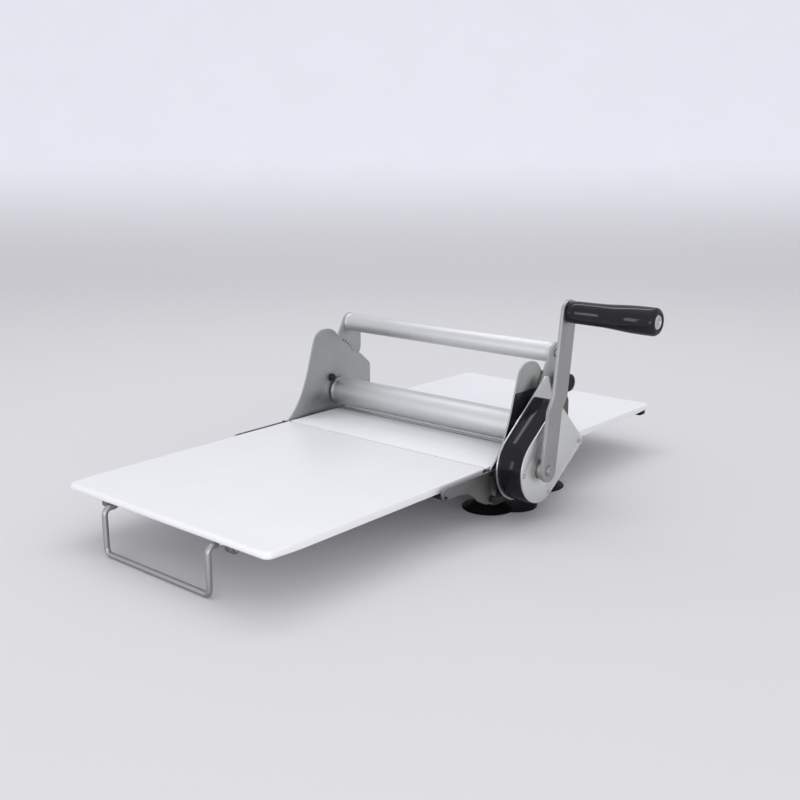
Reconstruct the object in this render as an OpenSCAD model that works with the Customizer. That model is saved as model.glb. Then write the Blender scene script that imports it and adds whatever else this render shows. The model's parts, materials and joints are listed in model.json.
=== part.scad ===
// Hand-cranked bench roller press with folding feed tables.
// X runs along the rollers (crank at +X), Y along the tables, Z up from the bench.
// The origin lies on the bench, midway between the two side plates.

/* [Tables] */
// Width of the feed tables
table_w = 400; // [396:1:402]
// Thickness of the feed tables
table_t = 10; // [8:0.5:11]
// Height of the table surface above the bench
table_top = 80; // [80:0.5:80.5]
// Reach of the front table from the origin
front_reach = 544; // [440:1:600]
// Reach of the rear table from the origin
rear_reach = 374; // [320:1:500]
// Distance of the front fold line from the origin
front_fold = 125; // [124:0.5:126]
// Distance of the rear fold line from the origin
rear_fold = 75; // [74:0.5:76]
// Height of the fold lines
fold_z = 75; // [74.5:0.1:75.5]

/* [Rollers] */
// Radius of the press roller
press_r = 23.5; // [22:0.5:24]
// Radius of the driven lower roller
lower_r = 20; // [18:0.5:20]
// Free gap between the two rollers
nip_gap = 6.5; // [5:0.5:8]
// Half length of the press roller
press_half = 203.5; // [195:0.5:203.5]

/* [Frame] */
// Distance from the middle to a side plate's inner face
plate_x = 205; // [205:0.1:205.3]
// Thickness of the side plates
plate_t = 3; // [2.5:0.1:3]
// Height of the suction cups
cup_h = 22; // [20:0.5:22]
// Rim radius of the suction cups
cup_r = 40; // [34:0.5:40]

/* [Lift yoke] */
// Radius of the handle tube
tube_r = 15.5; // [13:0.5:15.5]
// Thickness of the lift arms
arm_t = 4; // [3:0.1:4]

/* [Crank] */
// Length of the crank arm between its two axes
crank_len = 226.5; // [180:0.5:240]
// Width of the crank arm
crank_w = 34; // [28:1:36]
// Length of the crank grip
grip_len = 132; // [100:1:140]
// Largest radius of the crank grip
grip_r = 19; // [16:0.5:19]

/* [Leg wires] */
// Diameter of the leg wire
wire_d = 8; // [6:0.5:8]
// Half width of a leg wire
leg_half = 104; // [80:1:120]

/* [Hidden] */
$fn = 64;
white = [0.90, 0.91, 0.93];
steel = [0.62, 0.64, 0.64];
bright = [0.80, 0.81, 0.82];
satin = [0.74, 0.75, 0.76];
black = [0.06, 0.06, 0.065];
zinc = [0.55, 0.56, 0.58];
bronze = [0.66, 0.50, 0.28];

fit = 0.05;
pivot = [-15, 135];
press_c = [3, table_top + nip_gap + press_r];
lower_c = [3, table_top - lower_r];
tube_c = [37, 225];
knob_c = [46, 180];
crank_c = [-72.5, 79.5];
idler_c = [8, lower_c[1] + 38];
crank_lean = 7.7;
grip_c = crank_c + crank_len * [sin(crank_lean), cos(crank_lean)];
lift_angle = 27;

plate_out = plate_x + plate_t;
arm_in = plate_out + 0.6;
arm_out = arm_in + arm_t;
gear_x = [213.4, 219.2];
back_x = [220, 222.5];
face_x = [259, 261.5];
pulley_x = [231, 247];
crank_x = 270;
grip_x = 283;

gear_module = 1.5;
pinion_teeth = 21;
gear_teeth = 30;
big_pulley_teeth = 60;
small_pulley_teeth = 20;
belt_pitch = 4;
belt_gap = 0.3;
belt_t = 1.7;

axle_r = 5;
roller_axle_r = 6;
crank_shaft_r = 6;
idler_shaft_r = 4;
pivot_bolt_r = 4;
hinge_bolt_r = 2.5;
stud_r = 3;
spindle_r = 4;

table_bottom = table_top - table_t;
bed_gap = 5.4;
bed_lip = 7.5;
lip_clear = 0.6;
bed_screw_y = [-front_fold + 26, -32, 34, rear_fold - 18];
plate_foot = 22;
bar_z = [cup_h, cup_h + 5];
cup_x = 168;
cup_y = 68;
cup_places = [for (x = [-cup_x, cup_x], y = [-cup_y, cup_y]) [x, y]];
tie_places = [[-88, 48], [66, 48]];
fold_places = [-front_fold, rear_fold];
standoff_places = [[-86, 98], [-64, 38], [-56, 134]];
lobe = [-front_fold + 4, 36];
bracket_t = 3;
bracket_end = 236;
rest_z = table_bottom - 4.3;
rest_c = [-bracket_end + 8, rest_z];
rear_rest_c = [rear_fold + 4.5, rest_z];
case_discs = [[crank_c[0], crank_c[1], 51], [32, 99, 8], [-33, 166, 6]];
back_discs = [[crank_c[0], crank_c[1], 53], [32, 99, 10], [-4, 190, 8]];
screw_places = [[-117, 79.5], [-50, 40], [30, 99], [-34, 163]];
leg_z = table_bottom - wire_d / 2 - 0.5;
leg_pivot_in = 14;
leg_out = 7.5;
bend_r = 12;
clip_x = [leg_half + 14, leg_half + 26];

// Points along a curve with one control point.
function curve(a, b, c, n = 8) =
    [for (i = [0:n]) let (t = i / n) (1 - t) * (1 - t) * a + 2 * t * (1 - t) * b + t * t * c];

// Points on an arc about a centre.
function arc(c, r, a0, a1, n = 12) =
    [for (i = [0:n]) let (a = a0 + (a1 - a0) * i / n) c + r * [cos(a), sin(a)]];

// Direction square to the common outer tangent of two discs.
function tangent_angle(p, q) =
    let (d = [q[0] - p[0], q[1] - p[1]])
    atan2(d[1], d[0]) - acos((p[2] - q[2]) / norm(d));

function grown(discs, g) = [for (d = discs) [d[0], d[1], d[2] + g]];

// Extrudes a Y-Z outline from x0 to x1.
module along_x(x0, x1) {
    translate([x0, 0, 0]) rotate([90, 0, 90]) linear_extrude(x1 - x0) children();
}

// Straight bar with a round section along X.
module rod(x0, x1, c, r) {
    translate([x0, c[0], c[1]]) rotate([0, 90, 0]) cylinder(h = x1 - x0, r = r);
}

module ring(x0, x1, c, r, bore) {
    difference() {
        rod(x0, x1, c, r);
        rod(x0 - 1, x1 + 1, c, bore);
    }
}

module both_sides() {
    children();
    mirror([1, 0, 0]) children();
}

// Outline around discs that lie on a convex path, listed counter-clockwise.
module disc_outline(discs) {
    n = len(discs);
    for (d = discs) translate([d[0], d[1]]) circle(r = d[2]);
    polygon([for (i = [0:n - 1])
        let (p = discs[i], q = discs[(i + 1) % n], a = tangent_angle(p, q))
        each [[p[0], p[1]] + p[2] * [cos(a), sin(a)], [q[0], q[1]] + q[2] * [cos(a), sin(a)]]]);
}

// The same outline as one closed path, for thin rings.
module path_outline(discs, n = 24) {
    k = len(discs);
    polygon([for (i = [0:k - 1])
        let (p = discs[(i + k - 1) % k], c = discs[i], q = discs[(i + 1) % k],
             a0 = tangent_angle(p, c), a1 = tangent_angle(c, q),
             span = (a1 - a0 + 720) % 360)
        each [for (j = [0:n]) [c[0], c[1]] + c[2] * [cos(a0 + span * j / n),
            sin(a0 + span * j / n)]]]);
}

// Hexagonal nut or bolt head along X.
module hex_x(x0, x1, c, across) {
    translate([x0, c[0], c[1]]) rotate([0, 90, 0])
        cylinder(h = x1 - x0, r = across / sqrt(3), $fn = 6);
}

// Involute gear outline with a tooth centred on the given angle.
function roll(rb, r) = tan(acos(rb / r)) * 180 / PI - acos(rb / r);
function gear_points(teeth, m, phase, slack = 0.9) =
    let (rp = m * teeth / 2, rb = rp * cos(20), ra = rp + 0.95 * m, rr = rp - 1.25 * m,
         half = (90 / teeth) - slack / rp * 90 / PI * 0.25, steps = 4)
    [for (i = [0:teeth - 1])
        let (mid = phase + i * 360 / teeth)
        each concat(
            [rr * [cos(mid - half - roll(rb, rp)), sin(mid - half - roll(rb, rp))]],
            [for (k = [0:steps])
                let (r = max(rb, rr) + (ra - max(rb, rr)) * k / steps,
                     a = mid - half - roll(rb, rp) + roll(rb, max(r, rb)))
                r * [cos(a), sin(a)]],
            [for (k = [steps:-1:0])
                let (r = max(rb, rr) + (ra - max(rb, rr)) * k / steps,
                     a = mid + half + roll(rb, rp) - roll(rb, max(r, rb)))
                r * [cos(a), sin(a)]],
            [rr * [cos(mid + half + roll(rb, rp)), sin(mid + half + roll(rb, rp))]])];

module gear(teeth, c, phase, bore) {
    along_x(gear_x[0], gear_x[1]) translate(c) difference() {
        polygon(gear_points(teeth, gear_module, phase));
        circle(r = bore);
    }
}

// Toothed belt pulley with two flanges.
module pulley(teeth, c, bore, flange) {
    r = teeth * belt_pitch / (2 * PI);
    step = 360 / teeth;
    difference() {
        union() {
            along_x(pulley_x[0], pulley_x[1]) translate(c)
                polygon([for (i = [0:teeth - 1]) each [
                    r * [cos(i * step), sin(i * step)],
                    r * [cos((i + 0.5) * step), sin((i + 0.5) * step)],
                    (r - 1.3) * [cos((i + 0.6) * step), sin((i + 0.6) * step)],
                    (r - 1.3) * [cos((i + 0.9) * step), sin((i + 0.9) * step)]]]);
            rod(pulley_x[0] - 1.5, pulley_x[0], c, r + flange);
            rod(pulley_x[1], pulley_x[1] + 1.5, c, r + flange);
        }
        rod(pulley_x[0] - 3, pulley_x[1] + 3, c, bore);
    }
}

// Side plate: flared foot, tall cheek and a notched locking arc behind the pivot.
notch_r = 71;
notch_deep = 6.5;
notch_half = 2.4;
notches = 6;
knob_angle = atan2(knob_c[1] - pivot[1], knob_c[0] - pivot[0]);
plate_points = concat(
    curve([-104, plate_foot], [-118, plate_foot], [-124, 34], 4),
    [[-130, 44], [-130, 70]],
    curve([-130, 74], [-88, 92], [-66, 172]),
    curve([-57, 200], [-50, 221], [-34, 221], 5),
    curve([-22, 221], [-5, 219], [3, 204], 5),
    arc(pivot, notch_r, 74, knob_angle + lift_angle + 4, 3),
    [for (i = [notches - 1:-1:0])
        let (a = knob_angle + i * lift_angle / (notches - 1))
        each [pivot + notch_r * [cos(a + notch_half), sin(a + notch_half)],
              pivot + (notch_r - notch_deep) * [cos(a), sin(a)],
              pivot + notch_r * [cos(a - notch_half), sin(a - notch_half)]]],
    arc(pivot, notch_r, knob_angle - 3, knob_angle - 7, 2),
    [[58, 167]],
    curve([80, 149], [84, 146], [84, 138], 3),
    curve([84, 70], [84, 38], [70, plate_foot], 6));

module plate_shape() {
    difference() {
        polygon(plate_points);
        translate(pivot) circle(r = pivot_bolt_r);
        translate(lower_c) circle(r = 9);
        axle_slot();
        for (p = tie_places) translate(p) circle(r = 3);
        translate(lobe) circle(r = 3);
        translate([-front_fold, fold_z]) circle(r = 5.6);
        translate([rear_fold, fold_z]) circle(r = hinge_bolt_r);
    }
}

// Curved slot that the press roller axle sweeps as the yoke lifts.
module axle_slot() {
    d = press_c - pivot;
    reach = norm(d);
    start = atan2(d[1], d[0]);
    half = axle_r + 1.2;
    for (a = [0, lift_angle]) translate(pivot + reach * [cos(start + a), sin(start + a)])
        circle(r = half);
    translate(pivot) intersection() {
        difference() {
            circle(r = reach + half);
            circle(r = reach - half);
        }
        polygon([[0, 0], 60 * [cos(start), sin(start)], 75 * [cos(start + lift_angle / 2),
            sin(start + lift_angle / 2)], 60 * [cos(start + lift_angle), sin(start + lift_angle)]]);
    }
}

module left_side_plate() {
    color(steel) along_x(-plate_out, -plate_x) plate_shape();
}

module right_side_plate() {
    color(steel) along_x(plate_x, plate_out) difference() {
        plate_shape();
        for (p = standoff_places) translate(p) circle(r = 3);
    }
}

// Round bars that hold the side plates apart.
module tie_rods() {
    color(zinc) for (p = tie_places) difference() {
        rod(-plate_x, plate_x, p, 6);
        rod(-plate_x - 1, -plate_x + 14, p, 3);
        rod(plate_x - 14, plate_x + 1, p, 3);
    }
}

module tie_rod_screws() {
    color(zinc) both_sides() for (p = tie_places) {
        rod(plate_x - 12, plate_out, p, 3);
        hex_x(plate_out, plate_out + 3.5, p, 10);
    }
}

// Fixed white slabs between the fold lines and the lower roller, each with a thin lip.
module bed_slab(y0, y1) {
    color(white) difference() {
        translate([-table_w / 2, y0, table_bottom]) cube([table_w, y1 - y0, table_t]);
        rod(-table_w, table_w, lower_c, lower_r + lip_clear);
        both_sides() for (y = bed_screw_y) translate([192, y, table_bottom - 1])
            cylinder(h = 7, r = 2);
    }
}

module front_bed_plate() {
    bed_slab(-front_fold + bed_gap, lower_c[0] - bed_lip);
}

module rear_bed_plate() {
    bed_slab(lower_c[0] + bed_lip, rear_fold - bed_gap);
}

// Angle bars on the side plates that carry the slabs.
module bed_rails() {
    color(steel) both_sides() for (y = [[-112, -24], [28, 68]]) difference() {
        union() {
            translate([184, y[0], table_bottom - 3]) cube([plate_x - 184, y[1] - y[0], 3]);
            translate([plate_x - 3, y[0], table_bottom - 14]) cube([3, y[1] - y[0], 14]);
        }
        for (s = bed_screw_y) translate([192, s, table_bottom - 10]) cylinder(h = 20, r = 2);
    }
}

module bed_screws() {
    color(zinc) both_sides() for (s = bed_screw_y) translate([192, s, 0]) {
        translate([0, 0, table_bottom - 3]) cylinder(h = 9, r = 2);
        translate([0, 0, table_bottom - 5.5]) cylinder(h = 2.5, r = 4);
    }
}

// Cross bars that carry the suction cups.
module cup_bars() {
    color(steel) for (y = [-cup_y, cup_y]) difference() {
        translate([-plate_x, y - 13, bar_z[0]]) cube([2 * plate_x, 26, bar_z[1] - bar_z[0]]);
        for (x = [-cup_x, cup_x]) translate([x, y, 0]) cylinder(h = 60, r = 4);
    }
}

module suction_cups() {
    color(black) for (p = cup_places) translate([p[0], p[1], 0]) rotate_extrude()
        polygon(concat(
            [[0, 9], [12, 9]],
            curve([12, 9], [24, 8], [cup_r - 2.5, 0], 6),
            [[cup_r, 0], [cup_r, 1.6]],
            curve([cup_r - 1, 3], [26, 12], [15, 14], 6),
            [[13, 15], [12.5, cup_h], [0, cup_h]]));
}

module cup_studs() {
    color(zinc) for (p = cup_places) translate([p[0], p[1], cup_h])
        cylinder(h = 17, r = 4);
}

module cup_nuts() {
    color(zinc) for (p = cup_places) translate([p[0], p[1], bar_z[1]]) difference() {
        cylinder(h = 6.5, r = 13 / sqrt(3), $fn = 6);
        translate([0, 0, -1]) cylinder(h = 9, r = 4);
    }
}

// Tapered sheets outside the plates that carry the front fold bolts and reach along the table.
bracket_points = concat(
    arc([-bracket_end + 8, 70.5], 8, 90, 270, 8),
    curve([-196, 61.5], [-174, 60], [-160, 47], 5),
    curve([-154, 41], [-146, 37], [lobe[0] - 13, 31], 4),
    arc(lobe, 8, 225, 340, 8),
    arc([lobe[0] + 12, 70.5], 8, 0, 90, 6));

module table_brackets() {
    color(steel) both_sides() along_x(plate_out, plate_out + bracket_t) difference() {
        polygon(bracket_points);
        translate([-front_fold, fold_z]) circle(r = hinge_bolt_r);
        translate(lobe) circle(r = 3);
        translate(rest_c) circle(r = 2);
    }
}

module bracket_bolts() {
    color(black) both_sides() {
        rod(plate_x, plate_out + bracket_t, lobe, 3);
        hex_x(plate_out + bracket_t, plate_out + bracket_t + 3, lobe, 10);
        hex_x(plate_x - 4, plate_x, lobe, 10);
    }
}

module hinge_bolts() {
    color(black) both_sides() for (y = fold_places) {
        out = plate_out + (y < 0 ? bracket_t : 0);
        rod(table_w / 2 - 14, out, [y, fold_z], hinge_bolt_r);
        rod(out, out + 2, [y, fold_z], 4.4);
    }
}

// Collars that centre the tables between the plates.
module hinge_spacers() {
    color(black) both_sides() for (y = fold_places)
        ring(table_w / 2 + 0.4, y < 0 ? plate_out : plate_x, [y, fold_z], 4.6, hinge_bolt_r);
}

// Pins at the bracket tips and on the side plates that the unfolded tables lie on.
module table_rest_pins() {
    color(black) both_sides() {
        rod(plate_out, plate_out + bracket_t + 1.5, rest_c, 2);
        rod(table_w / 2 - 12, plate_out, rest_c, 4);
        rod(table_w / 2 - 12, plate_x, rear_rest_c, 4);
    }
}

// Rubber pads under the rear table's outer corners.
module rear_bumpers() {
    color(black) both_sides() translate([0, 0, table_bottom - 6]) linear_extrude(6)
        polygon(concat(
            curve([184, rear_reach - 7], [199, rear_reach - 7], [199, rear_reach - 22], 6),
            [[199, rear_reach - 34], [186, rear_reach - 34], [184, rear_reach - 32]]));
}

module lever_pivot_bolts() {
    color(black) both_sides() {
        rod(plate_x - 4, plate_x, pivot, 6.5);
        rod(plate_x, arm_out + 5, pivot, pivot_bolt_r);
    }
}

module lever_pivot_nuts() {
    color(zinc) both_sides() difference() {
        hex_x(arm_out + 0.3, arm_out + 5, pivot, 12);
        rod(arm_out, arm_out + 6, pivot, pivot_bolt_r);
    }
}

module roller_bushes() {
    color(bronze) both_sides()
        ring(plate_x - 1, plate_out + 1, lower_c, 9, roller_axle_r + fit);
}

// Gear case on the crank side.
module case_standoffs() {
    color(zinc) for (p = standoff_places) {
        rod(plate_x, plate_out, p, 3);
        rod(plate_out, back_x[0], p, 6);
        hex_x(plate_x - 3, plate_x, p, 10);
    }
}

module case_back_plate() {
    color(bright) along_x(back_x[0], back_x[1]) difference() {
        disc_outline(back_discs);
        translate(crank_c) circle(r = 9);
        translate(idler_c) circle(r = 7);
    }
}

module case_rim() {
    color(black) along_x(back_x[1], face_x[0]) difference() {
        path_outline(case_discs);
        path_outline(grown(case_discs, -3));
    }
}

module case_face() {
    color(steel) along_x(face_x[0], face_x[1]) difference() {
        path_outline(grown(case_discs, -1.5));
        translate(crank_c) circle(r = 9);
        for (p = screw_places) translate(p) circle(r = 1.6);
    }
}

module case_screws() {
    color(zinc) for (p = screw_places) {
        rod(back_x[1], face_x[1], p, 1.6);
        difference() {
            rod(face_x[1], face_x[1] + 1.8, p, 3.2);
            hex_x(face_x[1] + 0.8, face_x[1] + 3, p, 2.6);
        }
    }
}

// Rubber foot on the bench under the gear case, with a lug behind the back plate.
module case_foot() {
    foot_c = [192, -36];
    color(black) {
        intersection() {
            translate(foot_c) cylinder(h = 24, r = 35);
            translate([plate_out + 0.4, -100, 0]) cube([60, 120, 24]);
        }
        translate([plate_out + 0.4, foot_c[1] - 20, 20])
            cube([back_x[0] - plate_out - 0.4, 30, 13]);
    }
}

module crank_bushes() {
    color(bronze) {
        ring(back_x[0] - 1, back_x[1] + 4, crank_c, 9, crank_shaft_r + fit);
        ring(face_x[0] - 4, face_x[1] + 0.5, crank_c, 9, crank_shaft_r + fit);
    }
}

module idler_bushes() {
    color(bronze) {
        ring(back_x[0], back_x[1] + 4, idler_c, 7, idler_shaft_r + fit);
        ring(face_x[0] - 7, face_x[0], idler_c, 8, idler_shaft_r + fit);
    }
}

module drive_belt() {
    big = big_pulley_teeth * belt_pitch / (2 * PI) + belt_gap;
    small = small_pulley_teeth * belt_pitch / (2 * PI) + belt_gap;
    discs = [[crank_c[0], crank_c[1], big], [idler_c[0], idler_c[1], small]];
    color(black) along_x(pulley_x[0] + 0.5, pulley_x[1] - 0.5) difference() {
        path_outline(grown(discs, belt_t));
        path_outline(discs);
    }
}

// Crank and everything that turns with it.
module crank_shaft() {
    color(zinc) rod(216, crank_x + 5, crank_c, crank_shaft_r);
}

module big_pulley() {
    color(black) pulley(big_pulley_teeth, crank_c, crank_shaft_r, 2.6);
}

module crank_hub() {
    color(steel) ring(face_x[1] + 1, crank_x, crank_c, 14, crank_shaft_r);
}

// Flat bar, stepped outwards below the grip.
module crank_arm() {
    step_x = 6;
    t = 5;
    color(steel) difference() {
        intersection() {
            along_x(crank_x - 1, crank_x + 20) disc_outline([
                [crank_c[0], crank_c[1], crank_w / 2], [grip_c[0], grip_c[1], crank_w / 2]]);
            translate([0, crank_c[0], crank_c[1]]) rotate([-crank_lean, 0, 0])
                rotate([90, 0, 0]) translate([0, 0, -30]) linear_extrude(60) polygon([
                    [crank_x, -30], [crank_x + t, -30], [crank_x + t, 84],
                    [crank_x + t + step_x, 108], [crank_x + t + step_x, crank_len + 30],
                    [crank_x + step_x, crank_len + 30], [crank_x + step_x, 110],
                    [crank_x, 86]]);
        }
        rod(crank_x - 2, crank_x + 20, crank_c, crank_shaft_r);
        rod(crank_x - 2, crank_x + 20, grip_c, spindle_r);
    }
}

// Low round screw that holds the arm on the shaft.
module crank_bolt() {
    color(steel) difference() {
        union() {
            rod(crank_x + 5, crank_x + 6, crank_c, 8);
            rod(crank_x + 6, crank_x + 8, crank_c, 6.5);
        }
        hex_x(crank_x + 6.5, crank_x + 9, crank_c, 5);
    }
}

module grip_spindle() {
    color(zinc) {
        hex_x(crank_x + 1.5, crank_x + 6, grip_c, 12);
        rod(crank_x + 6, grip_x + grip_len - 10, grip_c, spindle_r);
    }
}

// Black hand grip, waisted near the arm and fuller towards its end.
module crank_grip() {
    l = grip_len;
    r = grip_r;
    color(black) translate([grip_x, grip_c[0], grip_c[1]]) rotate([0, 90, 0]) difference() {
        rotate_extrude() polygon(concat(
            [[0, 0], [r - 5, 0]],
            curve([r - 5, 0], [r - 3, 0], [r - 3, 3], 4),
            curve([r - 3, 6], [r - 3.6, 22], [r - 3, 40], 6),
            curve([r - 2.6, 46], [r - 0.6, 80], [r, l - 18], 8),
            curve([r, l - 12], [r, l], [r - 6, l], 6),
            [[10.2, l], [10.2, l - 3], [0, l - 3]]));
        translate([0, 0, -1]) cylinder(h = l - 8, r = spindle_r + 0.08);
    }
}

module grip_end_disc() {
    color(satin) translate([grip_x + grip_len - 3, grip_c[0], grip_c[1]]) rotate([0, 90, 0])
        difference() {
            cylinder(h = 2.5, r = 10);
            translate([0, 0, 1.6]) cylinder(h = 2, r = 3.4);
        }
}

// Counter shaft between the belt and the gears.
module idler_shaft() {
    color(zinc) rod(gear_x[0], face_x[0] - 1, idler_c, idler_shaft_r);
}

module small_pulley() {
    color(black) pulley(small_pulley_teeth, idler_c, idler_shaft_r, 2.6);
}

mesh_angle = atan2(idler_c[1] - lower_c[1], idler_c[0] - lower_c[0]);

module drive_pinion() {
    color(bronze) gear(pinion_teeth, idler_c, mesh_angle + 180 + 180 / pinion_teeth,
        idler_shaft_r);
}

module lower_roller() {
    color(satin) difference() {
        rod(-plate_x + 2, plate_x - 2, lower_c, lower_r);
        rod(-plate_x, plate_x, lower_c, roller_axle_r);
    }
}

module lower_axle() {
    color(zinc) rod(-plate_out - 2, gear_x[1], lower_c, roller_axle_r);
}

module roller_gear() {
    color(steel) gear(gear_teeth, lower_c, mesh_angle, roller_axle_r);
}

// Yoke: two arms, the handle tube and the press roller's axle.
module arm_shape() {
    difference() {
        path_outline([[press_c[0], press_c[1], 13], [knob_c[0], knob_c[1], 18],
            [tube_c[0] + 9, tube_c[1] - 13, 18], [tube_c[0], tube_c[1], 16],
            [pivot[0], pivot[1], 15]], 10);
        translate(pivot) circle(r = pivot_bolt_r + fit);
        translate(press_c) circle(r = axle_r);
        translate(tube_c) circle(r = 3);
    }
}

module left_lift_arm() {
    color(steel) along_x(-arm_out, -arm_in) arm_shape();
}

module right_lift_arm() {
    color(steel) along_x(arm_in, arm_out) difference() {
        arm_shape();
        translate(knob_c) circle(r = stud_r + 0.1);
    }
}

module handle_tube() {
    color(satin) ring(-arm_in, arm_in, tube_c, tube_r, tube_r - 2);
}

module tube_plugs() {
    color(zinc) both_sides() ring(arm_in - 12, arm_in, tube_c, tube_r - 2, 3);
}

module tube_screws() {
    color(zinc) both_sides() {
        rod(arm_in - 12, arm_out, tube_c, 3);
        rod(arm_out, arm_out + 3, tube_c, 6.5);
    }
}

module press_axle() {
    color(zinc) rod(-arm_out, arm_out, press_c, axle_r);
}

module press_roller() {
    color(satin) ring(-press_half, press_half, press_c, press_r, press_r - 3);
}

module press_roller_caps() {
    color(zinc) both_sides()
        ring(press_half - 12, press_half, press_c, press_r - 3, axle_r + fit);
}

// Round knob whose stud drops into the notches of the side plate's arc.
module lock_knob() {
    color(black) {
        rod(plate_x - 2, arm_out + 14, knob_c, stud_r);
        rod(arm_out + 0.5, arm_out + 6, knob_c, 8);
        translate([arm_out + 6, knob_c[0], knob_c[1]]) rotate([0, 90, 0]) rotate_extrude()
            polygon(concat([[0, 0], [11, 0]], curve([11, 0], [13.5, 0.5], [13.5, 3], 4),
                [[13.5, 13]], curve([13.5, 13], [13.5, 16], [10, 16], 4), [[0, 16]]));
    }
}

// Folding table: a slab with a full round at both ends and small corner rounds.
module folding_table(reach, fold) {
    r = table_t / 2;
    color(white) difference() {
        intersection() {
            along_x(-table_w / 2, table_w / 2) disc_outline([[fold, fold_z, r],
                [reach - r, fold_z, r]]);
            union() {
                translate([-table_w / 2, 0, 0]) cube([table_w, reach - 12, 200]);
                for (x = [-table_w / 2 + 12, table_w / 2 - 12]) translate([x, reach - 12, 0])
                    cylinder(h = 200, r = 12);
                translate([-table_w / 2 + 12, 0, 0]) cube([table_w - 24, reach, 200]);
            }
        }
        both_sides() rod(table_w / 2 - 15, table_w / 2 + 1, [fold, fold_z],
            hinge_bolt_r + fit);
    }
}

// Clips that hold the leg wire's ends under a table.
module leg_clips(reach) {
    y = reach - leg_pivot_in;
    color(zinc) both_sides() difference() {
        union() {
            translate([clip_x[0], y - 7, leg_z - 4]) cube([clip_x[1] - clip_x[0], 14,
                table_bottom - leg_z + 4]);
            rod(clip_x[0], clip_x[1], [y, leg_z - 1], 7);
        }
        rod(clip_x[0] - 1, clip_x[1] + 1, [y, leg_z], wire_d / 2 + fit);
        translate([clip_x[0] - 1, y - 20, table_bottom]) cube([40, 40, 20]);
    }
}

// Quarter bend of the wire in a plane through its corner.
module wire_bend() {
    rotate_extrude(angle = 90) translate([bend_r, 0]) circle(d = wire_d, $fn = 32);
}

// Leg: a rod on the bench, two uprights and two pins that turn in the clips.
module leg_wire(reach) {
    foot_y = reach + leg_out;
    y = reach - leg_pivot_in;
    r = wire_d / 2;
    color(zinc) {
        rod(-leg_half + bend_r, leg_half - bend_r, [foot_y, r], r);
        both_sides() {
            translate([leg_half - bend_r, foot_y, r + bend_r]) rotate([90, 0, 0])
                mirror([0, 1, 0]) wire_bend();
            translate([leg_half, foot_y, r + bend_r])
                cylinder(h = leg_z - r - bend_r, r = r);
            translate([leg_half, foot_y, leg_z]) sphere(r = r);
            translate([leg_half, y, leg_z]) rotate([-90, 0, 0])
                cylinder(h = foot_y - y, r = r);
            translate([leg_half, y, leg_z]) sphere(r = r);
            rod(leg_half, clip_x[1] + 3, [y, leg_z], r);
        }
    }
}

module front_table() {
    mirror([0, 1, 0]) folding_table(front_reach, front_fold);
}

module front_leg_clips() {
    mirror([0, 1, 0]) leg_clips(front_reach);
}

module front_leg_wire() {
    mirror([0, 1, 0]) leg_wire(front_reach);
}

module rear_table() {
    folding_table(rear_reach, rear_fold);
}

module rear_leg_clips() {
    leg_clips(rear_reach);
}

// The rear leg is stored flat, turned a quarter about its pins.
module rear_leg_wire() {
    pin = [0, rear_reach - leg_pivot_in, leg_z];
    translate(pin) rotate([-90, 0, 0]) translate(-pin) leg_wire(rear_reach);
}

// Parts, one at a time or all together.
left_side_plate();
right_side_plate();
tie_rods();
tie_rod_screws();
front_bed_plate();
rear_bed_plate();
bed_rails();
bed_screws();
cup_bars();
suction_cups();
cup_studs();
cup_nuts();
table_brackets();
bracket_bolts();
hinge_bolts();
hinge_spacers();
table_rest_pins();
rear_bumpers();
lever_pivot_bolts();
lever_pivot_nuts();
roller_bushes();
case_standoffs();
case_back_plate();
case_rim();
case_face();
case_screws();
case_foot();
crank_bushes();
idler_bushes();
drive_belt();
crank_shaft();
big_pulley();
crank_hub();
crank_arm();
crank_bolt();
grip_spindle();
crank_grip();
grip_end_disc();
idler_shaft();
small_pulley();
drive_pinion();
lower_roller();
lower_axle();
roller_gear();
left_lift_arm();
right_lift_arm();
handle_tube();
tube_plugs();
tube_screws();
press_axle();
press_roller();
press_roller_caps();
lock_knob();
front_table();
front_leg_clips();
front_leg_wire();
rear_table();
rear_leg_clips();
rear_leg_wire();
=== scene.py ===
# %% [markdown]
# # A hand-cranked roller press, finished in Blender
# The working parts come from a packed design that is loaded as a fixed frame, in metres.
# This lesson gives each part its visible form and finish: sheet edges are broken, wires are
# bent, handles are turned, and every surface gets a material with grain, wear and gloss.
# %% Load the frame
import json
import math
import bpy
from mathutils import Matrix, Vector


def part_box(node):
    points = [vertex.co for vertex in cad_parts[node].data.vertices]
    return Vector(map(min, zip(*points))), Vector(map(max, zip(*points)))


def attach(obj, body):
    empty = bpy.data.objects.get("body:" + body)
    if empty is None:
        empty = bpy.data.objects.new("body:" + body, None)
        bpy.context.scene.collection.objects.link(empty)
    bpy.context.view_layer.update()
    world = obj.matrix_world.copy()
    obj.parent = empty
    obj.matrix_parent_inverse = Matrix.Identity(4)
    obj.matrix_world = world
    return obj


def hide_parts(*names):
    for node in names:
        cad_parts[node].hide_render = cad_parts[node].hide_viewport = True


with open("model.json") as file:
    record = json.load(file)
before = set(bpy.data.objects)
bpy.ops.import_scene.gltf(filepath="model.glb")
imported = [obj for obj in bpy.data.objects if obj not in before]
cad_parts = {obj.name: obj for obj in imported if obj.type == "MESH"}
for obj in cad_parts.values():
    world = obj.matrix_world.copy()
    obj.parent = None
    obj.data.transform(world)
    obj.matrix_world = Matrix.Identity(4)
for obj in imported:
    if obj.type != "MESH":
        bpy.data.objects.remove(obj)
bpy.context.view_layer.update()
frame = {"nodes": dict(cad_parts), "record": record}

nodes = frame["nodes"]
MM = 0.001
print("parts loaded:", len(nodes))

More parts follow.
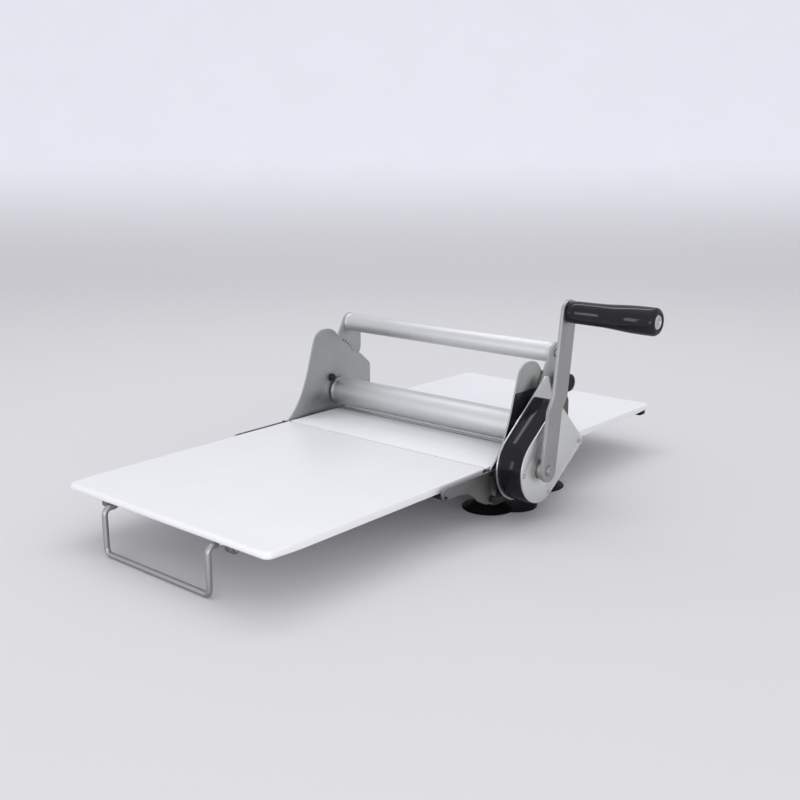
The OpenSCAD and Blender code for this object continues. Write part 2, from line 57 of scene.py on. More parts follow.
# %% [markdown]
# ## Camera
# A product view is chosen first, because it decides which edges matter. The lens is a short
# telephoto at about three quarters from the crank side, slightly above the tables.
# %% Place the camera
CAMERA_PLACE = (1.0486, -1.3127, 0.5439)
CAMERA_DOWN = 75.99
CAMERA_TURN = 40.27
CAMERA_LENS = 48.16

bpy.ops.object.select_all(action="DESELECT")
bpy.ops.object.camera_add(location=CAMERA_PLACE,
                          rotation=(math.radians(CAMERA_DOWN), 0, math.radians(CAMERA_TURN)))
camera = bpy.context.object
camera.name = "product_camera"
camera.data.lens = CAMERA_LENS
camera.data.sensor_width = 36
bpy.context.scene.camera = camera

# %% [markdown]
# ## Shader arithmetic
# A pattern is easier to read as a sum than as a web of nodes. `Signal` wraps one socket, and
# each operator on it adds the Math node that does the sum. `Finish` owns one material, and its
# single `node` method makes any other node: settings first, then the socket values or links.
# %% Signals and finishes


class Signal:
    """A shader socket that can be added, multiplied and compared like a number."""

    def __init__(self, finish, socket):
        self.finish = finish
        self.socket = socket

    def math(self, operation, first, second=None):
        values = [first] if second is None else [first, second]
        return self.finish.node("ShaderNodeMath", {"operation": operation}, values)

    def __add__(self, other):
        return self.math("ADD", self, other)

    __radd__ = __add__

    def __mul__(self, other):
        return self.math("MULTIPLY", self, other)

    __rmul__ = __mul__

    def __sub__(self, other):
        return self.math("SUBTRACT", self, other)

    def __rsub__(self, other):
        return self.math("SUBTRACT", other, self)

    def __gt__(self, other):
        return self.math("GREATER_THAN", self, other)

    def between(self, low, high):
        """0 below low, 1 above high, and a smooth rise from one to the other."""
        return self.finish.node("ShaderNodeMapRange", {"interpolation_type": "SMOOTHSTEP"},
                                {"Value": self, "From Min": low, "From Max": high})


class Finish:
    """One material on object coordinates, with its Principled shader at hand."""

    def __init__(self, name, **constants):
        self.material = bpy.data.materials.new(name)
        self.material.use_nodes = True
        self.tree = self.material.node_tree
        self.shader = self.tree.nodes["Principled BSDF"]
        for socket, value in constants.items():
            self.shader.inputs[socket.replace("_", " ")].default_value = value
        coordinates = self.tree.nodes.new("ShaderNodeTexCoord")
        self.place = Signal(self, coordinates.outputs["Object"])

    def node(self, kind, settings=None, inputs=None, output=0):
        made = self.tree.nodes.new(kind)
        for key, value in (settings or {}).items():
            setattr(made, key, value)
        pairs = inputs.items() if isinstance(inputs, dict) else enumerate(inputs or [])
        for key, value in pairs:
            self.feed(made.inputs[key], value)
        return Signal(self, made.outputs[output])

    def feed(self, socket, value):
        if isinstance(value, Signal):
            self.tree.links.new(value.socket, socket)
        else:
            socket.default_value = value

    def along(self, axis):
        """The place along X, Y or Z, in metres."""
        split = self.node("ShaderNodeSeparateXYZ", inputs=[self.place])
        return Signal(self, split.socket.node.outputs[axis])

    def noise(self, size, detail=3.0, stretch=(1, 1, 1)):
        """Noise whose grains are about size millimetres, drawn out along an axis below 1."""
        scaled = self.node("ShaderNodeMapping", inputs={"Vector": self.place, "Scale": stretch})
        return self.node("ShaderNodeTexNoise", inputs={
            "Vector": scaled, "Scale": 1 / (size * MM), "Detail": detail})

    def cells(self, size, settings=None):
        return self.node("ShaderNodeTexVoronoi", settings, {
            "Vector": self.place, "Scale": 1 / (size * MM)}, "Distance")

    def blend(self, factor, first, second):
        """A colour between two, by factor."""
        colours = [c if isinstance(c, Signal) else (*c, 1) for c in (first, second)]
        return self.node("ShaderNodeMix", {"data_type": "RGBA"},
                         {0: factor, 6: colours[0], 7: colours[1]}, 2)

    def paint(self, colour=None, roughness=None, height=None, depth=0.1):
        """Feeds the shader; height is a 0 to 1 relief, depth its size in millimetres."""
        if colour is not None:
            self.feed(self.shader.inputs["Base Color"], colour)
        if roughness is not None:
            self.feed(self.shader.inputs["Roughness"], roughness)
        if height is not None:
            bump = self.node("ShaderNodeBump", inputs={
                "Strength": 1.0, "Distance": depth * MM, "Height": height})
            self.feed(self.shader.inputs["Normal"], bump)
        return self.material


# %% [markdown]
# ## White feed boards
# The boards are cut from thick white polyethylene. Its surface is never a mirror: a fine
# moulded pebble dulls it, rolling plates leave faint grey rub marks that run along the feed,
# and knife-fine scratches catch the light.
# %% White board


def white_board():
    finish = Finish("white_board", Specular_IOR_Level=0.42)
    cloud = finish.noise(90, 2)
    rubs = finish.noise(14, 4, (1, 0.06, 1)).between(0.60, 0.86)
    scratches = finish.noise(1.1, 2, (1, 0.012, 1)).between(0.70, 0.80)
    base = finish.blend(cloud, (0.725, 0.728, 0.744), (0.765, 0.768, 0.782))
    rubbed = finish.blend(rubs * 0.35, base, (0.66, 0.67, 0.69))
    scored = finish.blend(scratches * 0.25, rubbed, (0.58, 0.59, 0.61))
    pebble = finish.noise(0.8, 2)
    return finish.paint(scored, 0.36 + rubs * 0.14 + cloud * 0.06,
                        pebble * 0.6 - scratches * 0.4, 0.03)


# %% [markdown]
# ## Metals
# Sheet steel is rolled and then brushed in one direction, so its grain is noise drawn out
# along that direction. Turned bars show rings instead: the noise is drawn out around the bar,
# which on an X-aligned bar means that it changes only along X. One recipe serves both, with
# the grain's stretch, size and colours as its parameters.
# %% Metal recipe


def worked_metal(name, dark, light, roughness, stretch, grain=0.35, stain=0.5, depth=0.012,
                 metallic=1.0):
    finish = Finish(name, Metallic=metallic)
    lines = finish.noise(grain, 3, stretch)
    cloud = finish.noise(38, 3)
    spots = finish.noise(7, 5).between(0.60, 0.80)
    tone = finish.blend(lines * 0.55 + cloud * 0.45, dark, light)
    marked = finish.blend(spots * stain, tone, [c * 0.72 for c in dark])
    rough = roughness - 0.06 + lines * 0.10 + spots * 0.12 + cloud * 0.04
    return finish.paint(marked, rough, lines, depth)


PLATE_DARK = (0.34, 0.352, 0.34)
PLATE_LIGHT = (0.43, 0.442, 0.43)
# Heights where the painted reflection of the gear case fades out, and the outer face's X.
REFLECTION_FADE = (0.1796, 0.1804)
PLATE_OUTER_FACE = 0.2075


def plate_steel():
    return worked_metal("brushed_plate_steel", PLATE_DARK, PLATE_LIGHT, 0.46,
                        (1, 1, 0.02), 0.45, 0.2)


def plate_with_painted_reflection():
    """Plate steel whose lower outer face is near black: a painted reflection of the black gear
    case.
    """
    finish = Finish("masked_plate_steel", Coat_Roughness=0.1)
    lines = finish.noise(0.45, 3, (1, 1, 0.02))
    wander = finish.noise(12, 2)
    # The lower outer face is painted near black and non-metallic: a painted reflection of the gear
    # case.
    below_reflection_edge = 1 - (finish.along("Z") + wander * 0.001).between(*REFLECTION_FADE)
    reflection_mask = below_reflection_edge * (finish.along("X") > PLATE_OUTER_FACE)
    steel = finish.blend(lines, PLATE_DARK, PLATE_LIGHT)
    finish.feed(finish.shader.inputs["Metallic"], 1 - reflection_mask)
    return finish.paint(finish.blend(reflection_mask, steel, (0.012, 0.012, 0.014)),
                        0.40 - reflection_mask * 0.12 + lines * 0.08, lines * (1 - reflection_mask), 0.012)


def bracket_steel():
    return worked_metal("bracket_steel", (0.17, 0.172, 0.170), (0.25, 0.252, 0.248), 0.46,
                        (1, 0.03, 1), 0.5, 0.4)


def crank_steel():
    return worked_metal("crank_steel", (0.32, 0.32, 0.322), (0.42, 0.42, 0.422), 0.44,
                        (1, 1, 0.02), 0.4, 0.35)


def face_metal():
    return worked_metal("gear_cover_metal", (0.62, 0.625, 0.615), (0.72, 0.725, 0.715), 0.50,
                        (1, 0.02, 1), 0.4, 0.22)


def edge_metal():
    return worked_metal("bright_cut_edge", (0.50, 0.505, 0.50), (0.62, 0.625, 0.62), 0.34,
                        (1, 1, 0.03), 0.3, 0.2)


def satin_bar():
    return worked_metal("satin_turned_bar", (0.56, 0.57, 0.575), (0.66, 0.67, 0.675), 0.50,
                        (1, 0.01, 0.01), 0.5, 0.18, 0.006)


def wire_metal():
    return worked_metal("drawn_leg_wire", (0.32, 0.323, 0.326), (0.43, 0.433, 0.436), 0.40,
                        (1, 1, 1), 1.2, 0.5, 0.02)


def gear_metal():
    return worked_metal("cut_gear_steel", (0.36, 0.37, 0.39), (0.52, 0.53, 0.55), 0.30,
                        (0.05, 1, 1), 0.6, 0.5)


def disc_metal():
    return worked_metal("turned_disc", (0.48, 0.485, 0.50), (0.66, 0.665, 0.68), 0.30,
                        (1, 1, 1), 0.9, 0.3)


def hidden_steel():
    return worked_metal("grey_frame_enamel", (0.24, 0.245, 0.25), (0.32, 0.325, 0.33), 0.48,
                        (1, 1, 1), 1.4, 0.5, 0.03, 0.25)


# %% [markdown]
# Zinc plating keeps a crystal look under its gloss, so cells vary the tint from bluish to
# yellow. Sintered bronze is full of pores, and black oxide is thin enough to rub off.
# %% Small-part metals


def zinc_plate():
    finish = Finish("zinc_plate", Metallic=1.0)
    crystals = finish.cells(2.2, {"feature": "F1"})
    wash = finish.noise(9, 3)
    tint = finish.blend(wash.between(0.35, 0.70), (0.50, 0.53, 0.58), (0.60, 0.58, 0.52))
    tone = finish.blend(crystals * 0.5, tint, (0.38, 0.39, 0.41))
    return finish.paint(tone, 0.26 + crystals * 0.20 + wash * 0.08, crystals, 0.02)


def sintered_bronze():
    finish = Finish("sintered_bronze", Metallic=1.0)
    pores = finish.cells(0.7).between(0.02, 0.25)
    oil = finish.noise(5, 4)
    tone = finish.blend(oil, (0.42, 0.27, 0.12), (0.64, 0.45, 0.22))
    return finish.paint(finish.blend(pores, (0.12, 0.08, 0.05), tone), 0.30 + oil * 0.25,
                        pores, 0.05)


def black_oxide():
    finish = Finish("black_oxide", Metallic=0.7)
    wear = finish.noise(2.5, 5).between(0.58, 0.72)
    tone = finish.blend(wear, (0.018, 0.018, 0.020), (0.14, 0.14, 0.145))
    return finish.paint(tone, 0.34 + wear * 0.12, finish.noise(0.5, 2), 0.02)


# %% [markdown]
# ## Black mouldings, enamel and rubber
# Gloss black is judged by its highlights. A clear coat gives the sharp one, a very shallow
# orange peel makes it wander, and dust and hairline scratches break it up. Rubber has almost no
# gloss, a talc bloom in patches and a fine grain.
# %% Blacks


def gloss_black(name, peel=6.0, dust=0.5, roughness=0.20, coat=0.30, gloss=0.03):
    finish = Finish(name, Coat_Roughness=0.05, Specular_IOR_Level=gloss)
    specks = finish.cells(1.6).between(0.10, 0.02) * finish.noise(24, 3).between(0.45, 0.7)
    hairs = finish.noise(0.9, 2, (0.03, 1, 1)).between(0.68, 0.80)
    haze = finish.noise(30, 3)
    tone = finish.blend(haze, (0.006, 0.006, 0.0075), (0.011, 0.011, 0.013))
    dusty = finish.blend(specks * dust, tone, (0.22, 0.22, 0.23))
    finish.feed(finish.shader.inputs["Coat Weight"], coat - hairs * coat * 0.5)
    return finish.paint(dusty, roughness + hairs * 0.18 + haze * 0.08,
                        finish.noise(peel, 2) + hairs * -0.1, 0.05)


def black_rubber():
    finish = Finish("black_rubber", Specular_IOR_Level=0.12)
    bloom = finish.noise(12, 4).between(0.55, 0.80)
    grain = finish.noise(0.6, 3)
    tone = finish.blend(bloom * 0.5, (0.004, 0.004, 0.005), (0.022, 0.022, 0.024))
    return finish.paint(tone, 0.46 + bloom * 0.22, grain, 0.06)


def belt_rubber():
    finish = Finish("belt_rubber", Specular_IOR_Level=0.3)
    cords = finish.noise(0.8, 2, (1, 0.05, 0.05))
    tone = finish.blend(cords, (0.016, 0.016, 0.017), (0.040, 0.040, 0.042))
    return finish.paint(tone, 0.60 + cords * 0.15, cords, 0.05)


def pulley_plastic():
    finish = Finish("pulley_plastic")
    flow = finish.noise(16, 4)
    tone = finish.blend(flow, (0.022, 0.022, 0.024), (0.050, 0.050, 0.053))
    return finish.paint(tone, 0.42 + flow * 0.16, finish.noise(0.7, 2), 0.04)


# %% [markdown]
# ## One finish for each material slot
# The design names a slot for every part. Each slot gets one material, so a part that stays as
# designed and a part that is remodelled below look alike. The right side plate, whose lower
# outer face carries a painted reflection of the gear case, and the table brackets are given
# another finish further down.
# %% Dress every part
finishes = {
    "white_table": white_board(),
    "plate_steel": plate_steel(),
    "hidden_steel": hidden_steel(),
    "crank_steel": crank_steel(),
    "case_face_metal": face_metal(),
    "bright_edge": edge_metal(),
    "gloss_black": gloss_black("gloss_black_enamel"),
    "black_rubber": black_rubber(),
    "belt_rubber": belt_rubber(),
    "black_oxide": black_oxide(),
    "zinc_plate": zinc_plate(),
    "leg_wire": wire_metal(),
    "clip_steel": bracket_steel(),
    "satin_aluminium": satin_bar(),
    "bronze": sintered_bronze(),
    "gear_steel": gear_metal(),
    "black_pulley": pulley_plastic(),
    "disc_metal": disc_metal(),
}
slot_of = {row["node"]: row["material_slot"] for row in frame["record"]["subparts"]}
body_of = {part: body for body, parts in frame["record"]["behaviour"]["bodies"].items()
           for part in parts}


def dress(piece, material):
    piece.data.materials.clear()
    piece.data.materials.append(material)
    for face in piece.data.polygons:
        face.material_index = 0


for part, piece in nodes.items():
    dress(piece, finishes[slot_of[part]])
print("materials made:", len(bpy.data.materials))

# %% [markdown]
# ## Working in edit mode
# Operators act on the selection, so each helper first clears it and then picks what it needs
# by place. `finish_piece` does what every new part needs at the end: its place goes into its
# mesh, it gets a finish, it rides on a body and it stands for its plain counterpart.
# %% Modelling helpers


def start_piece(adder, name, **options):
    """Adds a primitive with nothing else selected and enters edit mode."""
    bpy.ops.object.select_all(action="DESELECT")
    adder(**options)
    piece = bpy.context.object
    piece.name = name
    bpy.ops.object.mode_set(mode="EDIT")
    bpy.ops.mesh.select_all(action="SELECT")
    return piece


def leave_edit():
    bpy.ops.object.mode_set(mode="OBJECT")


def pick(piece):
    bpy.ops.object.select_all(action="DESELECT")
    piece.select_set(True)
    bpy.context.view_layer.objects.active = piece


def select_parts(piece, wanted, kind="edges"):
    """Selects the edges, faces or vertices whose middle passes a test, in millimetres."""
    modes = {"edges": "EDGE", "polygons": "FACE", "vertices": "VERT"}
    bpy.ops.mesh.select_mode(type=modes[kind])
    bpy.ops.mesh.select_all(action="DESELECT")
    leave_edit()
    corners = piece.data.vertices
    for part in getattr(piece.data, kind):
        ends = [part.index] if kind == "vertices" else part.vertices
        points = [piece.matrix_world @ corners[i].co / MM for i in ends]
        part.select = bool(wanted(points))
    bpy.ops.object.mode_set(mode="EDIT")


def break_edges(piece, width, segments=2, angle=32):
    """A small bevel on every sharp edge, applied, and then smooth shading by angle."""
    pick(piece)
    bevel = piece.modifiers.new("broken edges", "BEVEL")
    bevel.width = width * MM
    bevel.segments = segments
    bevel.limit_method = "ANGLE"
    bevel.angle_limit = math.radians(angle)
    bpy.ops.object.modifier_apply(modifier=bevel.name)
    bpy.ops.object.shade_smooth_by_angle(angle=math.radians(angle))


def finish_piece(piece, part, material=None, replaces=True):
    """Bakes the place into the mesh, dresses the piece and puts it on the part's body."""
    pick(piece)
    bpy.ops.object.transform_apply(location=True, rotation=True, scale=True)
    dress(piece, material or finishes[slot_of[part]])
    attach(piece, body_of[part])
    if replaces:
        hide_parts(part)
    return piece


# %% [markdown]
# ## Sheet and machined parts with broken edges
# A laser-cut plate has a tiny bright rim where its burr was rubbed off, and without it metal
# looks like paper. The designed shape is right, so it is copied, its loose triangles are merged
# and flattened back into whole faces, and a bevel is applied to its sharp edges.
# %% Break the edges of the plates and bars


def softened(part, width, material=None):
    copy = bpy.data.objects.new(part + "_finished", nodes[part].data.copy())
    bpy.context.collection.objects.link(copy)
    pick(copy)
    bpy.ops.object.mode_set(mode="EDIT")
    bpy.ops.mesh.select_all(action="SELECT")
    bpy.ops.mesh.remove_doubles(threshold=0.002 * MM)
    bpy.ops.mesh.dissolve_limited(angle_limit=math.radians(0.5))
    leave_edit()
    break_edges(copy, width)
    return finish_piece(copy, part, material)


BROKEN_EDGES = {
    "left_side_plate": 0.5, "right_side_plate": 0.5, "left_lift_arm": 0.6,
    "right_lift_arm": 0.6, "case_back_plate": 0.3, "case_face": 0.5, "case_rim": 0.7,
    "crank_arm": 0.9, "crank_hub": 0.7, "table_brackets": 0.4, "cup_bars": 0.5,
    "bed_rails": 0.4, "front_leg_clips": 0.5, "rear_leg_clips": 0.5, "cup_nuts": 0.5,
    "lever_pivot_nuts": 0.5, "tie_rod_screws": 0.5, "bracket_bolts": 0.5, "crank_bolt": 0.5,
    "lever_pivot_bolts": 0.6, "hinge_bolts": 0.6, "tube_screws": 0.6, "case_screws": 0.25,
    "front_bed_plate": 0.4, "rear_bed_plate": 0.4, "case_foot": 1.6, "tube_plugs": 0.4,
    "press_roller_caps": 0.8, "rear_bumpers": 0.8,
}
# The right side plate's lower outer face carries a painted reflection of the black gear case.
special = {"right_side_plate": plate_with_painted_reflection(), "table_brackets": finishes["clip_steel"]}
for part, width in BROKEN_EDGES.items():
    softened(part, width, special.get(part))
print("edges broken on", len(BROKEN_EDGES), "parts")

# %% [markdown]
# ## Folding tables
# Each table is a slab with a bullnose at both ends and rounded outer corners. A cube is scaled
# to size, its two outer upright edges are rounded first, and the long end edges then get a
# bevel of half the slab's thickness, which turns them into a full round.
# %% Tables


def feed_table(part, outer_sign):
    low, high = [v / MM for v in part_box(part)]
    size = high - low
    piece = start_piece(bpy.ops.mesh.primitive_cube_add, part + "_board", size=MM,
                        location=(low + high) / 2 * MM)
    bpy.ops.transform.resize(value=size)
    outer_y = high.y if outer_sign > 0 else low.y

    def outer_upright(points):
        return all(abs(p.y - outer_y) < 0.1 for p in points) and \
            abs(points[0].z - points[1].z) > size.z / 2

    select_parts(piece, outer_upright)
    bpy.ops.mesh.bevel(offset=12 * MM, segments=10, affect="EDGES")

    def end_rim(points):
        level = abs(points[0].z - points[1].z) < 0.01
        near_end = all(min(abs(p.y - low.y), abs(p.y - high.y)) < 12.2 for p in points)
        return level and near_end and abs(points[0].x - points[1].x) > 0.01

    select_parts(piece, end_rim)
    bpy.ops.mesh.bevel(offset=size.z * 0.46 * MM, segments=7, affect="EDGES")
    leave_edit()
    break_edges(piece, 0.7, 3, 40)
    return finish_piece(piece, part)


feed_table("front_table", -1)
feed_table("rear_table", 1)

# %% [markdown]
# ## Leg wires
# A leg is one length of round wire, bent six times. The end circle is extruded along each
# straight, and `spin` carries it round each bend, just as a wire bender would. Spin turns
# against the right-hand rule, so its angle is given a minus sign.
# %% Bend the wire


def bent_wire(name, corners, radius, bend):
    """Sweeps a circle along corners, in millimetres, with every corner a round bend."""
    points = [Vector(c) * MM for c in corners]
    heading = (points[1] - points[0]).normalized()
    piece = start_piece(bpy.ops.mesh.primitive_circle_add, name, vertices=24,
                        radius=radius * MM, fill_type="NGON", location=points[0],
                        rotation=heading.to_track_quat("Z", "Y").to_euler())
    here = points[0]
    for i in range(1, len(points)):
        last = i == len(points) - 1
        stop = points[i] if last else points[i] - heading * bend * MM
        bpy.ops.mesh.extrude_region_move(TRANSFORM_OT_translate={"value": stop - here})
        here = stop
        if last:
            break
        turn = (points[i + 1] - points[i]).normalized()
        centre = here + turn * bend * MM
        bpy.ops.mesh.spin(steps=8, angle=-heading.angle(turn), center=centre,
                          axis=heading.cross(turn).normalized())
        here = points[i] + turn * bend * MM
        heading = turn
    bpy.ops.mesh.select_all(action="SELECT")
    bpy.ops.mesh.remove_doubles(threshold=0.001 * MM)
    bpy.ops.mesh.normals_make_consistent(inside=False)
    leave_edit()
    break_edges(piece, 0.8, 3, 50)
    return piece


WIRE_R = 4.0
LEG_HALF = 104.0


def leg(part, pin, outward, along):
    """A leg from its pins: a short way outward, then along to the foot bar and back."""
    pin_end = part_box(part)[1].x / MM
    pin, outward, along = Vector(pin), Vector(outward), Vector(along)
    stops = [pin, pin + outward, pin + outward + along]
    corners = [Vector((LEG_HALF, 0, 0)) + stop for stop in stops]
    mirrored = [Vector((-c.x, c.y, c.z)) for c in reversed(corners)]
    ends = [Vector((x, 0, 0)) + pin for x in (pin_end, -pin_end)]
    path = [ends[0]] + corners + mirrored + [ends[1]]
    return finish_piece(bent_wire(part + "_bent", path, WIRE_R, 8.5), part)


low, high = [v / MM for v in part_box("front_leg_wire")]
front_pin = (0, high.y - WIRE_R, high.z - WIRE_R)
leg_out = (high.y - low.y) - 2 * WIRE_R
leg_down = (high.z - low.z) - 2 * WIRE_R
leg("front_leg_wire", front_pin, (0, -leg_out, 0), (0, 0, -leg_down))
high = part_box("rear_leg_wire")[1] / MM
rear_pin = (0, high.y - WIRE_R, high.z - WIRE_R)
leg("rear_leg_wire", rear_pin, (0, 0, -leg_out), (0, -leg_down, 0))

# %% [markdown]
# ## Turned parts
# Handles, cups and rollers are round, so each starts as one vertex that is drawn out into a
# half section and spun through a full turn about Z. The object is then laid along X where its
# axis needs it. The section points are (radius, height) pairs.
# %% Lathe helper


def turned(name, section, place, along_x=True, steps=72):
    piece = start_piece(bpy.ops.mesh.primitive_plane_add, name, size=MM)
    bpy.ops.mesh.select_mode(type="VERT")
    bpy.ops.mesh.merge(type="CENTER")
    here = Vector((0, 0, 0))
    for step, (radius, height) in enumerate(section):
        target = Vector((radius, 0, height)) * MM
        if step == 0:
            bpy.ops.transform.translate(value=target - here)
        else:
            bpy.ops.mesh.extrude_vertices_move(TRANSFORM_OT_translate={"value": target - here})
        here = target
    bpy.ops.mesh.select_all(action="SELECT")
    bpy.ops.mesh.spin(steps=steps, angle=math.tau, center=(0, 0, 0), axis=(0, 0, 1))
    bpy.ops.mesh.select_all(action="SELECT")
    bpy.ops.mesh.remove_doubles(threshold=0.002 * MM)
    bpy.ops.mesh.normals_make_consistent(inside=False)
    leave_edit()
    if along_x:
        piece.rotation_euler = (0, math.pi / 2, 0)
    piece.location = Vector(place) * MM
    pick(piece)
    bpy.ops.object.transform_apply(location=True, rotation=True, scale=True)
    return piece


def swell(start, stop, begin, end, count=8):
    """Points on a smooth rise of radius from start to stop between two heights."""
    return [(start + (stop - start) * (0.5 - 0.5 * math.cos(math.pi * i / count)),
             begin + (end - begin) * i / count) for i in range(count + 1)]


def corner(radius, height, rounding, count=5):
    """A quarter round that ends a cylinder, at its outer edge."""
    return [(radius - rounding * (1 - math.cos(math.pi / 2 * i / count)),
             height + rounding * (math.sin(math.pi / 2 * i / count) - 1))
            for i in range(count + 1)]


# %% [markdown]
# ## Crank grip
# The grip is a glossy moulding that turns on its spindle. It is slim by the arm, where the
# forefinger rests, and swells towards its end, which has a shallow lip round a metal disc.
# %% Grip, its end disc and screw
grip_low, grip_high = [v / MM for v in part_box("crank_grip")]
grip_axis = (grip_low + grip_high) / 2
grip_length = grip_high.x - grip_low.x
GRIP_END_R = (grip_high.z - grip_low.z) / 2
BORE_R = 4.1
COLLAR_R = GRIP_END_R - 3.4
grip_section = [(BORE_R, 0), (COLLAR_R - 2.4, 0), (COLLAR_R - 1.0, 0.5), (COLLAR_R - 0.2, 1.6),
                (COLLAR_R, 3.2), (COLLAR_R - 0.4, 4.6), (COLLAR_R - 0.7, 5.4),
                (COLLAR_R - 0.4, 6.2)]
grip_section += swell(COLLAR_R, COLLAR_R + 0.2, 9, 36, 5)
grip_section += swell(COLLAR_R + 0.3, GRIP_END_R - 0.1, 42, grip_length - 26, 10)
grip_section += [(GRIP_END_R - 0.02, grip_length - 18)]
grip_section += corner(GRIP_END_R - 0.04, grip_length, 6.5, count=8)
grip_section += [(10.9, grip_length), (10.5, grip_length - 0.3), (10.3, grip_length - 0.9),
                 (10.3, grip_length - 2.9), (BORE_R, grip_length - 2.9), (BORE_R, 0)]
grip = turned("crank_grip_moulding", grip_section, (grip_low.x, grip_axis.y, grip_axis.z))
bpy.ops.object.shade_smooth_by_angle(angle=math.radians(40))
finish_piece(grip, "crank_grip", gloss_black("gloss_black_grip", 9.0, 0.35, 0.30, 0.45, 0.03))

disc_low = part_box("grip_end_disc")[0] / MM
disc = turned("grip_disc_turned", [
    (0, 0), (9.9, 0), (9.9, 1.7), (9.5, 2.2), (8.9, 2.4), (7.6, 2.4), (7.3, 2.0), (6.7, 2.0),
    (6.4, 2.4), (4.9, 2.4), (4.6, 1.4), (0, 1.4)],
    (disc_low.x, grip_axis.y, grip_axis.z))
break_edges(disc, 0.12, 2, 30)
finish_piece(disc, "grip_end_disc")

screw = turned("grip_disc_screw", [(0, 0), (3.6, 0), (3.6, 0.5), (3.2, 0.85), (2.2, 0.95),
                                   (1.7, 0.95), (1.6, 0.35), (0, 0.35)],
               (disc_low.x + 1.4, grip_axis.y, grip_axis.z), steps=36)
break_edges(screw, 0.08, 2, 30)
finish_piece(screw, "grip_end_disc", finishes["zinc_plate"], replaces=False)

# %% [markdown]
# ## Lock knob
# The knob is gripped by its flutes. They are made by turning a plain cap and then pulling in
# every third group of its rim vertices.
# %% Fluted knob
knob_low, knob_high = [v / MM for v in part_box("lock_knob")]
knob_axis = (knob_low + knob_high) / 2
knob_r = (knob_high.z - knob_low.z) / 2
knob_length = knob_high.x - knob_low.x
knob_section = [(0, 0), (2.4, 0), (3, 0.6), (3, 10.1), (8, 10.1), (8, 15.0), (9.4, 15.6),
                (12.3, 15.7), (knob_r - 0.5, 16.2), (knob_r - 0.05, 17.2),
                (knob_r - 0.05, knob_length - 4.2)]
knob_section += corner(knob_r - 0.05, knob_length - 0.6, 3.4)
knob_section += [(9.2, knob_length - 0.1), (6.2, knob_length - 0.1), (5.6, knob_length - 0.9),
                 (0, knob_length - 1.1)]
knob = turned("lock_knob_moulding", knob_section, (knob_low.x, knob_axis.y, knob_axis.z))
pick(knob)
bpy.ops.object.mode_set(mode="EDIT")
FLUTES = 12


def in_flute(points):
    point = points[0]
    dy, dz = point.y - knob_axis.y, point.z - knob_axis.z
    turn = (math.degrees(math.atan2(dz, dy)) % (360 / FLUTES)) / (360 / FLUTES)
    rim = math.hypot(dy, dz) > knob_r - 1.2
    return rim and point.x > knob_low.x + 16 and turn < 0.34


select_parts(knob, in_flute, "vertices")
bpy.ops.transform.resize(value=(1, 0.90, 0.90),
                         center_override=Vector((knob_axis.x, knob_axis.y, knob_axis.z)) * MM)
leave_edit()
bpy.ops.object.shade_smooth_by_angle(angle=math.radians(40))
finish_piece(knob, "lock_knob", gloss_black("gloss_black_knob", 7.0, 0.4, 0.24))

# %% [markdown]
# ## Suction cups
# Each cup is a soft cone with a thin sealing lip, a step where the skirt leaves the neck and
# rings that stop it slipping. All four are turned one by one, each with its own mesh.
# %% Cups
cup_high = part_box("suction_cups")[1] / MM
CUP_R = 40.0
cup_height = cup_high.z
cup_section = [(0, 9.2), (11, 9.0)] + swell(13, 37.2, 8.6, 0.3, 8)[1:]
cup_section += [(38.2, 0.02), (39.4, 0.02), (39.9, 0.5), (39.8, 1.2), (38.6, 1.8), (37.0, 2.2)]
cup_section += [(35.6, 3.4), (34.9, 3.2), (33.4, 4.4), (32.7, 4.2), (30.8, 5.8)]
cup_section += [(26.5, 8.4), (21.5, 11.2), (17.2, 13.6), (16.4, 14.4), (16.2, 15.4),
                (15.2, 16.0), (13.4, 16.2), (12.9, 17.0), (12.6, 20.6), (12.0, 21.6),
                (11.2, cup_height - 0.02), (0, cup_height - 0.02)]
cup_x = cup_high.x - CUP_R
cup_y = cup_high.y - CUP_R
cups = []
for x, y in ((-cup_x, -cup_y), (-cup_x, cup_y), (cup_x, -cup_y), (cup_x, cup_y)):
    cup = turned("suction_cup_%d" % (len(cups) + 1), cup_section, (x, y, 0), False, 64)
    bpy.ops.object.shade_smooth_by_angle(angle=math.radians(50))
    cups.append(finish_piece(cup, "suction_cups"))

# %% [markdown]
# ## Rollers and handle tube
# Both rollers and the handle are bar or tube with a chamfer at each end, and the press roller
# shows the seam between its tube and its end cap. Rings are added near the ends, where the
# lathe tool stopped.
# %% Rollers


def roller(part, outer, inner, chamfer):
    low, high = [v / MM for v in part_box(part)]
    axis = (low + high) / 2
    length = high.x - low.x
    section = [(inner, 0), (outer - chamfer, 0), (outer, chamfer), (outer, 6), (outer - 0.12, 6.3),
               (outer - 0.12, 6.8), (outer, 7.1), (outer, length / 2), (outer, length - 7.1),
               (outer - 0.12, length - 6.8), (outer - 0.12, length - 6.3), (outer, length - 6),
               (outer, length - chamfer), (outer - chamfer, length), (inner, length), (inner, 0)]
    piece = turned(part + "_turned", section, (low.x, axis.y, axis.z), steps=96)
    bpy.ops.object.shade_smooth_by_angle(angle=math.radians(30))
    return finish_piece(piece, part)


def tube_radius(part):
    low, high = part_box(part)
    return (high.z - low.z) / 2 / MM


roller("press_roller", tube_radius("press_roller"), tube_radius("press_roller") - 3, 0.8)
roller("lower_roller", tube_radius("lower_roller"), 6.0, 0.8)
roller("handle_tube", tube_radius("handle_tube"), tube_radius("handle_tube") - 2, 0.6)
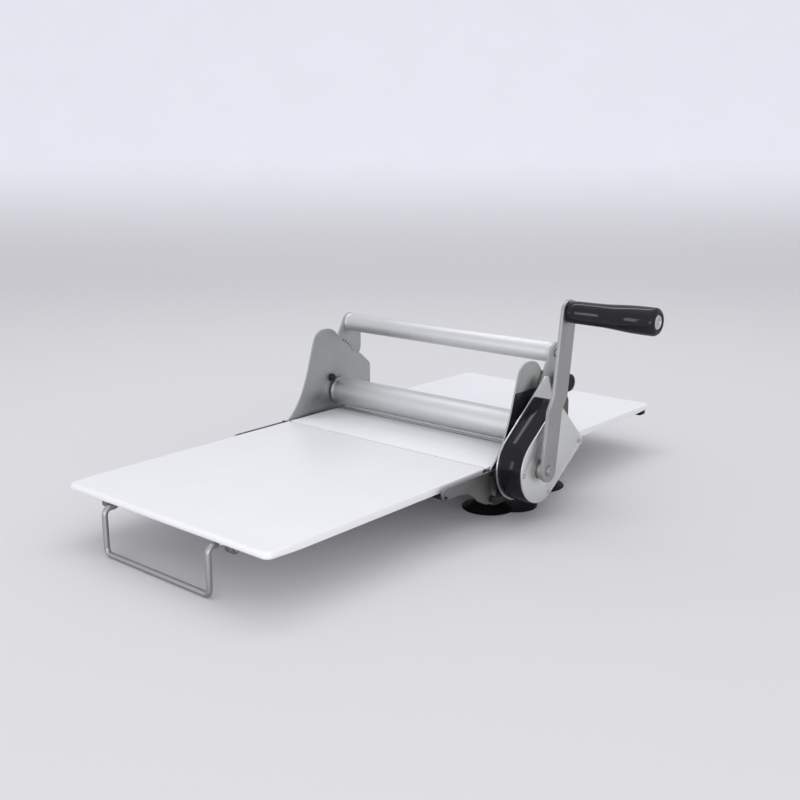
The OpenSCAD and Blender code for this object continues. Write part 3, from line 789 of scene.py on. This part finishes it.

# %% [markdown]
# ## Sweep and light
# The set is one pale sheet that curves up behind the machine, so no horizon shows. It stands
# square to the camera, grey at the floor and pale lavender above; the lavender is the wall's own
# colour and its extra lightness is painted light. Large soft lights give metal something bright
# to reflect, and two low ones open the shadows under the tables.
# %% Set and lights
bpy.context.scene.view_settings.view_transform = "Standard"
SWEEP_WIDE = 9.0
SWEEP_BACK = 4.6
SWEEP_FRONT = 3.4
SWEEP_HIGH = 3.6
SWEEP_CURVE = 2.3
FLOOR_TONE = (0.640, 0.636, 0.640)
# The wall tone is lighter than the floor's: painted light for the weaker light on the upright
# part.
WALL_TONE = (0.930, 0.930, 0.985)
WALL_TONE_FROM = 0.45
sweep = start_piece(bpy.ops.mesh.primitive_plane_add, "studio_sweep", size=1)
bpy.ops.transform.resize(value=(SWEEP_WIDE, SWEEP_BACK + SWEEP_FRONT, 1))
bpy.ops.transform.translate(value=(0, (SWEEP_BACK - SWEEP_FRONT) / 2, 0))
select_parts(sweep, lambda ends: all(p.y > SWEEP_BACK * 990 for p in ends))
bpy.ops.mesh.extrude_region_move(TRANSFORM_OT_translate={"value": (0, 0, SWEEP_HIGH)})
select_parts(sweep, lambda ends: all(p.y > SWEEP_BACK * 990 and p.z < 1 for p in ends))
bpy.ops.mesh.bevel(offset=SWEEP_CURVE, segments=24, affect="EDGES")
leave_edit()
sweep.rotation_euler = (0, 0, math.radians(CAMERA_TURN))
pick(sweep)
bpy.ops.object.transform_apply(rotation=True)
bpy.ops.object.shade_smooth()
sweep_finish = Finish("studio_sweep", Specular_IOR_Level=0.15)
sweep_cloud = sweep_finish.noise(260, 3)
# Rises from the floor tone to the wall tone with height; the lightening is painted light.
painted_light_rise = sweep_finish.along("Z").between(0.0, WALL_TONE_FROM)
sweep_tone = sweep_finish.blend(painted_light_rise, FLOOR_TONE, WALL_TONE)
dress(sweep, sweep_finish.paint(
    sweep_finish.blend(sweep_cloud * 0.12, sweep_tone, (0.60, 0.60, 0.61)),
    0.66 + sweep_cloud * 0.1, sweep_finish.noise(3, 2), 0.05))

world = bpy.data.worlds.new("studio")
bpy.context.scene.world = world
world.use_nodes = True
backdrop = world.node_tree.nodes["Background"]
backdrop.inputs["Color"].default_value = (0.84, 0.845, 0.885, 1)
backdrop.inputs["Strength"].default_value = 1.02


def soft_light(name, place, target, size, power):
    aim = Vector(target) - Vector(place)
    bpy.ops.object.light_add(type="AREA", location=place,
                             rotation=aim.to_track_quat("-Z", "Y").to_euler())
    light = bpy.context.object
    light.name = name
    light.data.shape = "RECTANGLE"
    light.data.size, light.data.size_y = size
    light.data.energy = power


soft_light("overhead_strip", (-0.6, 0.55, 2.0), (0.1, 0, 0.1), (2.2, 0.22), 9)
soft_light("overhead_softbox", (0.5, -0.4, 2.4), (0, 0, 0), (3.0, 2.6), 6)
soft_light("side_strip", (-0.75, -1.95, 0.45), (0.2, -0.1, 0.15), (0.22, 0.8), 2.5)
soft_light("camera_fill", (2.0, -1.6, 0.9), (0, 0, 0.1), (1.6, 1.0), 5)
soft_light("low_fill", (1.3, -2.1, 0.30), (0, -0.2, 0.02), (2.4, 0.5), 15)
